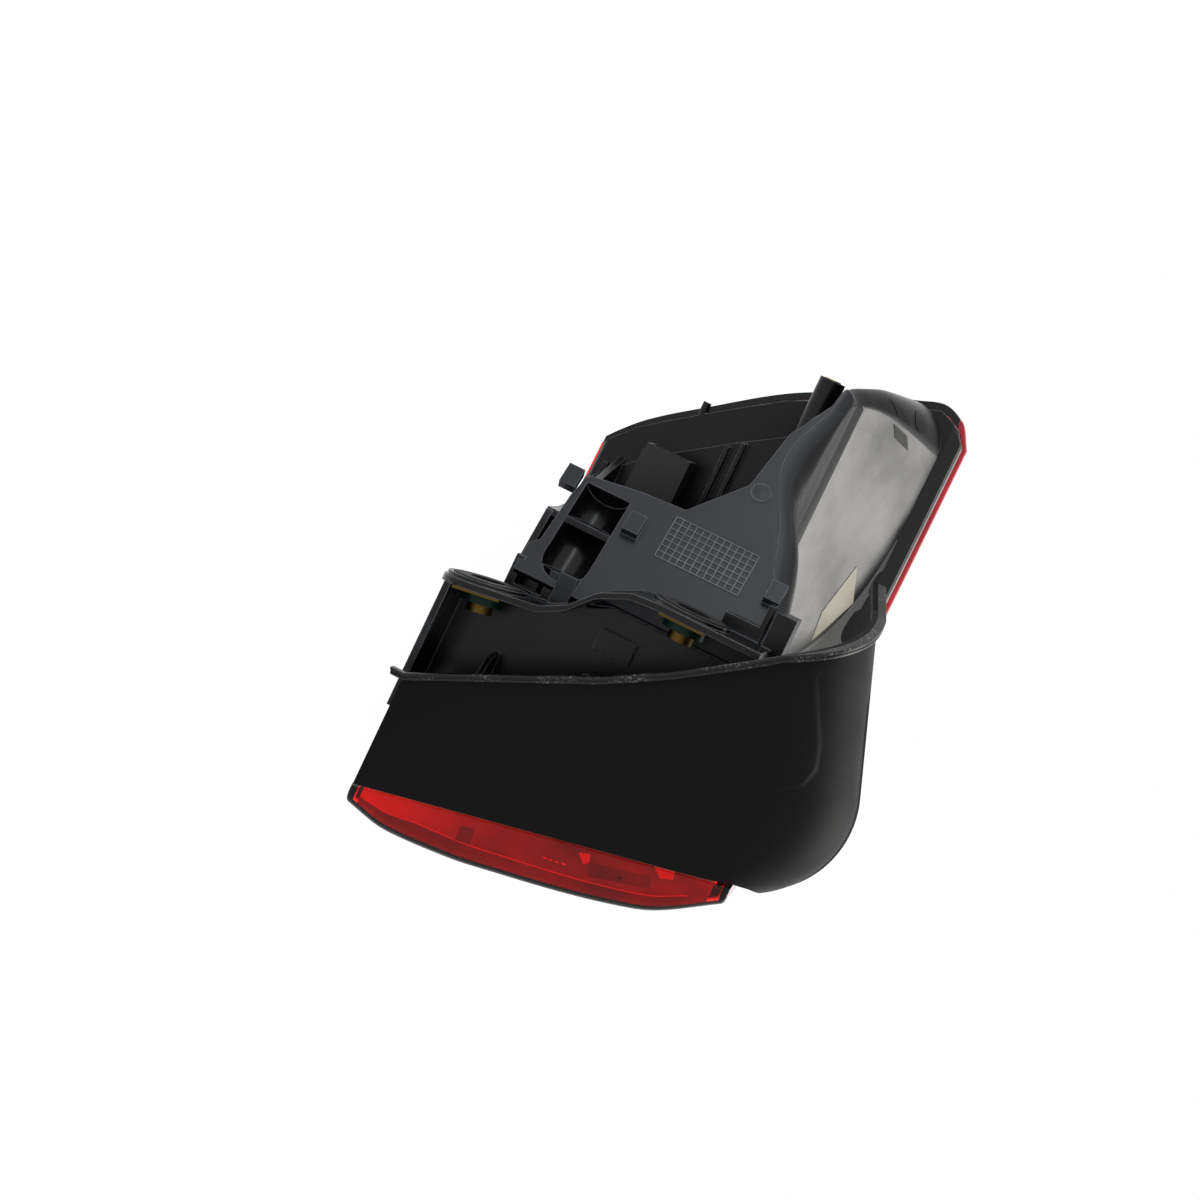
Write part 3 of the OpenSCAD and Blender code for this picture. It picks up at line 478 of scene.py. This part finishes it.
# Lens, on the lines of its solid: station u runs from the joint round the rear corner to the front tip
LENS_REACH = 240.0
LENS_LENGTH = 256.0
LENS_H = 157.0
LENS_SKIRT = 16.0
LENS_CORNER = 6.0
LENS_CORNER_LEAST = 1.5
LENS_SKIN = 2.8
LENS_TUCK = 12.0
LENS_RISE = 4.0
LENS_EDGE = 1.2
FULLNESS = 3.0
SIDE_U = 0.1
ROUND_U = 0.16
rear_curve = curve([(0, -2), (0.13, -6), (0.3, -4.3), (0.45, -0.4), (0.62, 4.8), (0.76, 10.3), (0.83, 14),
                    (1, 31)])
front_curve = curve([(0, -84), (0.03, -78), (0.09, -68), (0.23, -51), (0.48, -24), (0.7, -9), (0.8, -4),
                     (0.885, 0), (0.95, -4), (1, -16)])


def joint_y(z):
    """The joint between lens and gutter panel along the inboard side."""
    return 5.7 + 0.21 * z


def rear_at(z):
    return float(rear_curve(z / LENS_H))


def fan_share(q):
    return q / (q + (1 - q**FULLNESS) ** (1 / FULLNESS))


def plan(u, t, z, front_gap=0.0):
    """Place of the lens skin in plan, t inside it at height z, at station u."""
    r = max(LENS_CORNER - t, LENS_CORNER_LEAST)
    rear = rear_curve(z / LENS_H) + t
    reach = LENS_REACH - LENS_TUCK * max(0, 1 - z / LENS_H) ** 1.5 - t
    depth = LENS_LENGTH - rear
    if u <= SIDE_U:
        start = max(joint_y(z), rear + r + 2)
        return t, mix(start, rear + r, u / SIDE_U)
    if u <= ROUND_U:
        turn = math.radians(180 + 90 * (u - SIDE_U) / (ROUND_U - SIDE_U))
        return t + r + r * math.cos(turn), rear + r + r * math.sin(turn)
    first = fan_share((t + r) / reach)
    tip = (-front_curve(z / LENS_H) + front_gap) / depth
    last = fan_share((1 - tip**FULLNESS) ** (1 / FULLNESS))
    f = mix(first, last, (u - ROUND_U) / (1 - ROUND_U))
    n = (f**FULLNESS + (1 - f) ** FULLNESS) ** (1 / FULLNESS)
    return reach * f / n, LENS_LENGTH - depth * (1 - f) / n


def lens_point(u, t, z, front_gap=0.0):
    x, y = plan(u, t, z, front_gap)
    return x, y, z + LENS_RISE * (1 - x / LENS_REACH) * z / LENS_H


def along_lens(section, stations, gap):
    """Rows of a section, given as pairs t and z, swept along the lens and held back by gap at its tip."""
    return [[lens_point(u, t, z, gap * u) for t, z in section] for u in stations]


def up_front(section, heights):
    """Rows of a section, given as pairs t and gap behind the tip, swept up the lens's front edge."""
    return [[lens_point(1, t, z, gap) for t, gap in section] for z in heights]


lens_stations = steps(0, SIDE_U, 6)[:-1] + steps(SIDE_U, ROUND_U, 8)[:-1] + steps(ROUND_U, 1, 110)
arc = [(LENS_EDGE * (1 - math.cos(a)), LENS_EDGE * (1 - math.sin(a))) for a in np.radians((0, 30, 60, 90))]
under = [(LENS_EDGE + inward, 0) for inward in (12, 9, 6, 3)]
lens_section = (
    [(LENS_SKIRT, 0)] + under + arc[::-1]
    + [(0, z) for z in steps(4, LENS_H - 4, 44)]
    + [(t, LENS_H - z) for t, z in arc] + [(t, LENS_H) for t, _ in under[::-1]] + [(LENS_SKIRT, LENS_H)]
    + [(t, LENS_H - LENS_SKIN) for t in (LENS_SKIRT, 10, 5)]
    + [(LENS_SKIN, z) for z in steps(LENS_H - LENS_SKIN, LENS_SKIN, 44)]
    + [(t, LENS_SKIN) for t in (5, 10, LENS_SKIRT)])
lens = bar("lens_fine", along_lens(lens_section, lens_stations, LENS_SKIN), LOOK["lens"])
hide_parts("outer_lens")

# Front edge of the lens: a black lip of the housing, and the red corner above it
LIP_TOP = 148.0
LIP_BACK = 4.2
lip_section = ((0.1, 0.3), (20, 0.3), (20, LIP_BACK), (0.1, LIP_BACK))
lip = bar("front_lip", up_front(lip_section, steps(1, LIP_TOP, 60)), LOOK["rim"])
tip_section = ((0.1, 0.4), (LENS_SKIRT, 0.4), (LENS_SKIRT, LIP_BACK), (0.1, LIP_BACK))
tip_wall = bar("lens_tip_wall", up_front(tip_section, steps(LIP_TOP + 0.4, LENS_H - 0.2, 8)), LOOK["skirt"])

# Gutter panel with its rolled top, on the lines of its solid. Its height h runs from 0 to 1 up the side,
# from 1 to 2 round the roll, and on to 2 + SHELF_H along the shelf behind it.
PANEL_WALL = 2.5
PANEL_FOOT = 0.5
ROLL = 45.0
ROLL_Z = 150.0
ROLL_Z_FRONT = 135.0
ROLL_FALL_Y = 95.0
ROLL_FALL_RUN = 55.0
HUMP = 43.5
HUMP_Y = 75.0
HUMP_FALL = math.radians(20.3)
SHELF = 22.0
SHELF_H = 0.4
SHELF_FALL = 8.0
RAIL_LINE = [(58, 0), (93, 75), (108, 101), (127, 129), (138, 144), (152, 156)]
FRONT_LEAN = 28.0
STEP_LINE = [(41, 152.5), (53, 150), (67, 149), (75, 151), (80.5, 157), (89.5, 169), (97, 171), (107, 168),
             (131, 155)]
STEP_DEPTH = 0.8
STEP_STEEPNESS = 4.0
STEP_ENDS = (38, 137)
STEP_FADE = 12
REAR_BEVEL = [(0, 0.8), (0.15, 0.55), (0.3, 0.15), (0.4, 0), (0.85, 0), (0.95, 0.6), (1.4, 0.7), (1.7, 0)]


def crest_z(y):
    """The crest of the roll: a round hump that runs into a straight fall."""
    edge = HUMP_Y + HUMP * math.sin(HUMP_FALL)
    if y <= edge:
        return ROLL_Z + math.sqrt(max(0, HUMP**2 - (y - HUMP_Y) ** 2))
    return ROLL_Z + HUMP * math.cos(HUMP_FALL) - math.tan(HUMP_FALL) * (y - edge)


def roll_z(y):
    """Where the roll springs from the side."""
    return mix(ROLL_Z, ROLL_Z_FRONT, max(0, min(1, (y - ROLL_FALL_Y) / ROLL_FALL_RUN)))


def roll_turn(h):
    return math.radians(90 * max(0, min(1, h - 1)))


def panel_point(h, y, t):
    """Place on the panel, t inside its face."""
    if h <= 1:
        return t, y, mix(PANEL_FOOT, roll_z(y), h)
    turn, crest, past = roll_turn(h), crest_z(y) - t, max(0, h - 2)
    x = t + (ROLL - t) * (1 - math.cos(turn)) + past * SHELF / SHELF_H
    return x, y, roll_z(y) + (crest - roll_z(y)) * math.sin(turn) - past * SHELF_FALL


def panel_front(h):
    """Where the side at this height meets the rail's line, found by halving, and how the roll runs on."""
    low, high = 40.0, 152.0
    for _ in range(22):
        y = (low + high) / 2
        if panel_point(min(h, 1), y, 0)[2] > look_up(y, RAIL_LINE):
            low = y
        else:
            high = y
    return y + FRONT_LEAN * max(0, h - 1)


def panel_rear(h):
    bulge = look_up(h, [(1, 0), (1.25, 2.4), (1.45, 2.4), (2, -1)])
    return joint_y(mix(2.5, ROLL_Z, min(1, h))) + 0.3 + bulge


def sunk(y, z):
    """How deep the field above the step line lies in the face."""
    over = z - look_up(y, STEP_LINE)
    fade = max(0.0, min(1.0, (y - STEP_ENDS[0]) / STEP_FADE, (STEP_ENDS[1] - y) / STEP_FADE))
    return STEP_DEPTH * fade / (1 + math.exp(max(-20, min(20, -over * STEP_STEEPNESS))))


def panel_face(h, y):
    """Place on the panel's face, with its sunk field."""
    x, _, z = panel_point(h, y, 0)
    depth = sunk(y, z) if h < 2 else 0
    return x + depth * math.cos(roll_turn(h)), y, z - depth * math.sin(roll_turn(h))


panel_hs = steps(0, 1, 40)[:-1] + steps(1, 2, 64)[:-1] + steps(2, 2 + SHELF_H, 8)
panel_rows = []
for h in panel_hs:
    rear, front = panel_rear(h), panel_front(h)
    inner_rear = rear + PANEL_WALL * look_up(h, REAR_BEVEL)
    outer = [panel_face(h, y) for y in steps(rear, front, 90)]
    inner = [panel_point(h, y, PANEL_WALL) for y in steps(inner_rear, front, 30)]
    panel_rows.append(outer + inner[::-1])
panel = bar("gutter_skin", panel_rows, LOOK["panel"])
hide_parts("gutter_panel")

# Sealing rail along the panel's front edge, with a groove in its face
RAIL_SECTION = [(-2.5, 0), (3.4, 0), (3.85, 0.2), (4, 0.6), (4, 1.3), (3.55, 1.5), (3.55, 1.9), (4, 2.1),
                (4, 2.7), (3.85, 3.05), (3.4, 3.2), (-2.5, 3.2)]
RAIL_BELOW = 60
rail_rows = []
for h in [-0.1, -0.04] + panel_hs:
    g = max(0, h)
    seat, near = (np.array(panel_point(v, panel_front(v), 0)) for v in (g, g + 0.02))
    edge = seat + np.array((0, 0, RAIL_BELOW * min(0, h)))
    out = np.array((-math.cos(roll_turn(h)), 0, math.sin(roll_turn(h))))
    back = np.cross(near - seat, out)
    back = back / np.linalg.norm(back)
    rail_rows.append([tuple(edge + out * a + back * b) for a, b in RAIL_SECTION])
rail = bar("panel_rail", rail_rows, LOOK["rail"])

# The panel's three tabs, which reach from its inside to the clips
TAB_LENGTH = 10
TAB_T = 2
TAB_XS = (2.0, 8.0, 15.6, 15.8)
for k, level in enumerate((22, 61, 100)):
    y, z = joint_y(level) + 22, level + 2.6
    ring = [(y, z), (y + TAB_LENGTH, z), (y + TAB_LENGTH, z + TAB_T), (y, z + TAB_T)]
    tab_rows = [[(x, *p) for p in ring] for x in TAB_XS]
    tab = bar("panel_tab_%d" % (k + 1), tab_rows, LOOK["panel"])

# Polished top wall with its front fold, and the fillet that runs up from it to the rim, painted grey as a
# painted reflection
TOP_LINE = [(50, 134.5), (75, 129.5), (88, 125), (95, 121.5), (101, 117), (107, 111.5), (113, 107.5),
            (121, 105.5), (135, 105), (150, 106.5), (163, 113), (180, 125), (196, 136.5), (212, 147)]
FOLD_LINE = [(60, 4), (75, 12), (90, 15), (121, 14), (141, 6.2), (150, 6), (163, 7), (180, 11), (212, 20)]
FRONT_LINE = [(148, -15), (163, -10.5), (180, -7), (212, -5)]
top_z, fold_r, front_edge = curve(TOP_LINE), curve(FOLD_LINE), curve(FRONT_LINE)
PLATE_FRONT = 129.0
TRAY_DEPTH = 26.0
SKIN_UP = 0.35
SKIN_OUT = 0.25
SKIN_T = 0.3
RIM_UNDER = 146.4
TRAY_TOP = 150


def fold_y(x):
    """How far forward the top wall comes: to the leaning plate, and past it to near the lens's front line."""
    if x > FRONT_LINE[0][0]:
        return LENS_LENGTH + float(front_edge(x))
    return max(PLATE_FRONT, PLATE_FOOT[1] + (x - PLATE_FOOT[0]) / math.tan(PLATE_LEAN))


def fold(x):
    """Height of the polished skin at x, the radius of its fold and how far forward it comes."""
    return float(top_z(x)) + SKIN_UP, float(fold_r(x)), fold_y(x) + SKIN_OUT


def tray_back(x, z):
    """Distance forward of the back of the tray at x and height z."""
    places = np.array([plan(u, TRAY_DEPTH, z) for u in np.linspace(0.2, 1, 60)])
    return float(np.interp(x, places[:, 0], places[:, 1]))


def sag(a, b, c, q):
    """The curve from a to c that b pulls towards itself, at share q."""
    return (1 - q)**2 * a + 2 * q * (1 - q) * b + q * q * c


fold_rows, top_rows, valley_rows = [], [], []
for x in np.arange(55.0, 211.5, 1.5):
    z, r, y = fold(x)
    back = tray_back(x, z)
    bend = [(x, y - r + r * math.cos(a), z - r + r * math.sin(a)) for a in np.radians(np.linspace(0, 90, 12))]
    fold_rows.append(bend)
    top_rows.append(bend[-1:] + [(x, yy, z) for yy in steps(y - r, back + 0.2, 14)[1:]])
    climb = max(3.0, min(34.0, 0.96 * (RIM_UNDER - z)))
    foot, corner = (back + climb, z + 0.05), (back + 0.3, z + 0.3)
    head = (tray_back(x, min(TRAY_TOP, z + climb)) + 0.3, z + climb)
    valley_rows.append([(x, sag(foot[0], corner[0], head[0], q), sag(foot[1], corner[1], head[1], q))
                        for q in np.linspace(0, 1, 12)])
for name, rows, look_name in (("front_fold", fold_rows, "housing"), ("top_wall_skin", top_rows, "sheen"),
                              ("valley_blend", valley_rows, "valley")):
    grid_piece(name, rows, LOOK[look_name], thickness=SKIN_T)

# Rim of the tray, the beads of bond beside it and the lens's edge over them, as sections along the lens
rim_stations = steps(0.24, 1, 100)
rim_section = [(25.5, 146.6), (26.5, 146.8), (26.6, 153.6), (26.0, 154.1), (20.6, 154.1), (20.6, 153.6),
               (25.4, 153.4)]
rim = bar("rim_channel", along_lens(rim_section, rim_stations, 5.0), LOOK["rim"])
for side, low, high in (("top", 153.7, 154.9), ("bottom", 1.4, 3.4)):
    bead_section = [(16.4, low), (16.4, high - 0.4), (16.9, high), (19.6, high), (20.2, high - 0.4),
                    (20.3, low)]
    bead = bar("bond_bead_" + side, along_lens(bead_section, rim_stations, 4.0), LOOK["bond"])
    if side == "top":
        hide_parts("lens_bond")
front_bead = bar("bond_bead_front", up_front(((16.5, 4.4), (16.5, 4.9), (20, 4.9), (20, 4.4)),
                                             steps(3.6, 153.4, 40)), LOOK["bond"])
edge_section = ((16.02, 154.5), (16.3, 154.6), (16.3, 156.6), (15.9, 157.0), (12.0, 157.06), (12.0, 156.9))
skirt_edge = bar("skirt_edge", along_lens(edge_section, rim_stations, 3.0), LOOK["skirt"])

# What shows through the inboard side of the lens: a side reflector painted pale as painted light, and the
# corner behind it painted dark red as painted shade
BAND_LINE = [(0, 5.0), (30, 9.0), (140, 7.0), (157, 3.0)]
SIDE_X = 3.05
LINE_X = 2.89
LINE_HALF = 0.22
BAND_T = 0.24
OPTIC_T = 0.06
CORNER_BEND = 6.0
side_levels = steps(5, 150, 60)


def side_place(y, z, x=SIDE_X):
    return x, y, z + LENS_RISE * z / LENS_H


def band_end(z):
    return rear_at(z) + look_up(z, BAND_LINE)


corner_rows, plate_rows = [], []
for z in side_levels:
    bent = [rear_at(z) + v for v in (3.0, 3.6, 4.4, 5.2, CORNER_BEND)] + [band_end(z)]
    corner_rows.append([side_place(y, z, SIDE_X + 0.16 * max(0.0, CORNER_BEND - (y - rear_at(z))) ** 2)
                        for y in bent])
    plate_end = max(band_end(z) + 0.4, joint_y(z) + 1.5)
    plate_rows.append([side_place(y, z) for y in steps(band_end(z), plate_end, 8)])
line_rows = [[side_place(band_end(z) + v, z, LINE_X) for v in (-LINE_HALF, LINE_HALF)]
             for z in side_levels[4:-3]]
# The corner band is a dark red sheet of painted shade in the lens's rear corner
grid_piece("corner_band", corner_rows, LOOK["maroon"], thickness=BAND_T)
# The side reflector sheet carries the light seen through the lens, painted into its colour
grid_piece("side_reflector", plate_rows, LOOK["glow"], thickness=BAND_T)
# The side line is a painted glint of the optics seen through the lens
grid_piece("side_line", line_rows, LOOK["spark"], thickness=OPTIC_T)

# Date grid on the leaning plate: from where to where along it and up it, in how many cells
GRID_S = (25, 48, 7)
GRID_Z = (64, 104, 12)
GRID_HALF = 0.22
GRID_SUNK = -0.2


def boxes(name, items, material):
    """Small blocks on the leaning plate: along it s1..s2, up z1..z2 and out of its face a..b."""
    points, faces = [], []
    for s1, s2, z1, z2, a, b in items:
        k = len(points)
        ring = ((s1, z1), (s2, z1), (s2, z2), (s1, z2))
        points += [point(*on_plate(s, z, out)) for out in (a, b) for s, z in ring]
        faces += [(k, k + 3, k + 2, k + 1), (k + 4, k + 5, k + 6, k + 7), (k, k + 1, k + 5, k + 4),
                  (k + 1, k + 2, k + 6, k + 5), (k + 2, k + 3, k + 7, k + 6), (k + 3, k, k + 4, k + 7)]
    mesh = bpy.data.meshes.new(name)
    mesh.from_pydata(points, [], faces)
    add_piece(name, mesh, material)


uprights = [(s - GRID_HALF, s + GRID_HALF, GRID_Z[0], GRID_Z[1], GRID_SUNK, 0.35) for s in steps(*GRID_S)]
rungs = [(GRID_S[0], GRID_S[1], z - GRID_HALF, z + GRID_HALF, GRID_SUNK, 0.34) for z in steps(*GRID_Z)]
boxes("date_grid", uprights + rungs, LOOK["mark"])

# Marks on the top wall: a pale patch, and dark sheets of painted shade for its recesses and dimple
MARK_UP = 0.35
MARK_T = 0.25


def on_top(x, y):
    """A place just over the polished skin of the top wall and its front fold."""
    z, r, start = fold(x)
    over = max(0.0, min(r, y - (start - r)))
    return x, y, z - r + math.sqrt(r * r - over * over) + MARK_UP


def behind_side(y, z):
    """A place just behind the inboard side of the lens."""
    return LENS_SKIN + 0.08, y, z


def patch(name, corners, place, material, count=8, thickness=MARK_T):
    """A thin patch between four corners, laid on a surface by the function place."""
    a, b, c, d = (np.array(p, float) for p in corners)
    rows = [[place(*mix(mix(a, b, u), mix(d, c, u), v)) for u in np.linspace(0, 1, count)]
            for v in np.linspace(0, 1, count)]
    grid_piece(name, rows, material, thickness=thickness)


# A warm white patch laid on the top wall
patch("pale_patch", [(194.8, 170), (202.8, 153.1), (189.7, 129.4), (188, 143.9)], on_top, LOOK["pale_spot"])
# The recesses and the dimple are not cut: dark sheets laid on the wall paint their shade
patch("recess_lower", [(178.1, 237.1), (187.9, 234.7), (192.2, 228.6), (182.2, 231.5)], on_top, LOOK["dark"])
patch("recess_upper", [(174.5, 246.6), (182.5, 245.2), (187, 239.5), (178.5, 241.2)], on_top, LOOK["dark"])
DIMPLE_X = 195.0
DIMPLE_Y = 243.0
dimple = [[on_top(DIMPLE_X + r * math.cos(a), DIMPLE_Y + r * math.sin(a)) for a in circle(32)]
          for r in (0.3, 2, 3.4, 4.5)]
grid_piece("rim_dimple", dimple, LOOK["dark"], closed=True, thickness=MARK_T)

# Faint optics behind the inboard side of the lens, as distances forward and heights: pale marks are painted
# glints, and dark red ones painted shade
DASHES = [(14.8, 86.4), (15.1, 89.0), (15.5, 91.6), (16.1, 94.6), (21.5, 118.0)]
for k, (y, z) in enumerate(DASHES):
    slant = [(y + 0.3, z - 0.9), (y + 0.5, z + 0.9), (y - 0.2, z + 0.9), (y - 0.4, z - 0.9)]
    patch("optic_dash_%d" % (k + 1), slant, behind_side, LOOK["spark"], 3, OPTIC_T)
patch("optic_facet", [(32.3, 128.5), (34.1, 137.4), (30.7, 138.1), (29, 132.9)], behind_side, LOOK["spark"],
      4, OPTIC_T)
patch("optic_tab", [(23.4, 98.1), (24.9, 102.9), (21.2, 103.8), (19.7, 101.7)], behind_side, LOOK["spark"],
      4, OPTIC_T)
patch("optic_shade", [(11.1, 48.8), (12.3, 54.8), (5.4, 55.8), (4.4, 49.2)], behind_side, LOOK["maroon"],
      4, OPTIC_T)
patch("optic_shade_right", [(21.8, 104), (27.9, 129.7), (23.1, 131.2), (16.2, 105.7)], behind_side,
      LOOK["maroon"], 5, OPTIC_T)

# Round mark of the mould's ejector on the leaning plate
MARK_S = 78.8
MARK_Z = 90.5
MARK_R = 4.9
mark_profile = ((MARK_R, -0.2), (MARK_R, 0.25), (MARK_R - 0.6, 0.25), (MARK_R - 0.7, 0.05), (0.2, 0.05))
mark = [[on_plate(MARK_S + r * math.cos(a), MARK_Z + r * math.sin(a), out) for a in circle(40)]
        for r, out in mark_profile]
grid_piece("ejector_mark", mark, LOOK["housing"], closed=True, thickness=0.1)


# Light: a soft key from the front, another overhead, and a bright surround that is seen as white
def area(name, shift, size, power, colour):
    """A round lamp, set off from the middle of the solids and turned towards it."""
    centre = (cad_low + cad_high) / 2
    data = bpy.data.lights.new(name, "AREA")
    data.shape = "DISK"
    data.size = size
    data.energy = power
    data.color = colour
    obj = bpy.data.objects.new(name, data)
    bpy.context.scene.collection.objects.link(obj)
    obj.location = centre + Vector(shift)
    obj.rotation_euler = (-Vector(shift)).to_track_quat("-Z", "Y").to_euler()


area("key", (-0.45, 1.15, -0.2), 0.7, 6, (0.9, 0.95, 1.0))
area("overhead", (0.3, -0.1, 0.95), 0.7, 4.4, (1.0, 0.98, 0.94))
WHITE = (1.0, 1.0, 1.0, 1.0)
world = bpy.data.worlds.new("studio")
world.use_nodes = True
world.node_tree.nodes.clear()
bpy.context.scene.world = world
studio = Nodes(world.node_tree)
surround = studio.node("ShaderNodeBackground", {"Color": WHITE, "Strength": 0.55})
backdrop = studio.node("ShaderNodeBackground", {"Color": WHITE, "Strength": 1.0})
sides = {0: studio.seen(), 1: surround.outputs[0], 2: backdrop.outputs[0]}
choice = studio.node("ShaderNodeMixShader", sides)
studio.node("ShaderNodeOutputWorld", {"Surface": choice.outputs[0]})

# Plain pale floor under the lamp, which is seen nearly as white and keeps the shadow
FLOOR_REACH = 6.0
FLOOR_GAP = 0.0005
floor_z = cad_low.z - FLOOR_GAP
corners = [(x * FLOOR_REACH, y * FLOOR_REACH, floor_z) for x, y in ((-1, -1), (1, -1), (1, 1), (-1, 1))]
floor_mesh = bpy.data.meshes.new("floor")
floor_mesh.from_pydata(corners, [], [(0, 1, 2, 3)])
floor = bpy.data.objects.new("floor", floor_mesh)
bpy.context.scene.collection.objects.link(floor)
paper = Shader("floor_white", Base_Color=(0.9, 0.9, 0.9, 1), Roughness=0.9, Specular_IOR_Level=0.0)
white = paper.node("ShaderNodeEmission", {"Color": WHITE, "Strength": 1.08})
share = paper.math("MULTIPLY", paper.seen(), 0.92)
blend = paper.node("ShaderNodeMixShader", {0: share, 1: paper.bsdf.outputs[0], 2: white.outputs[0]})
paper.tree.links.new(blend.outputs[0], paper.out.inputs["Surface"])
floor_mesh.materials.append(paper.material)
floor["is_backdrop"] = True

low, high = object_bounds()
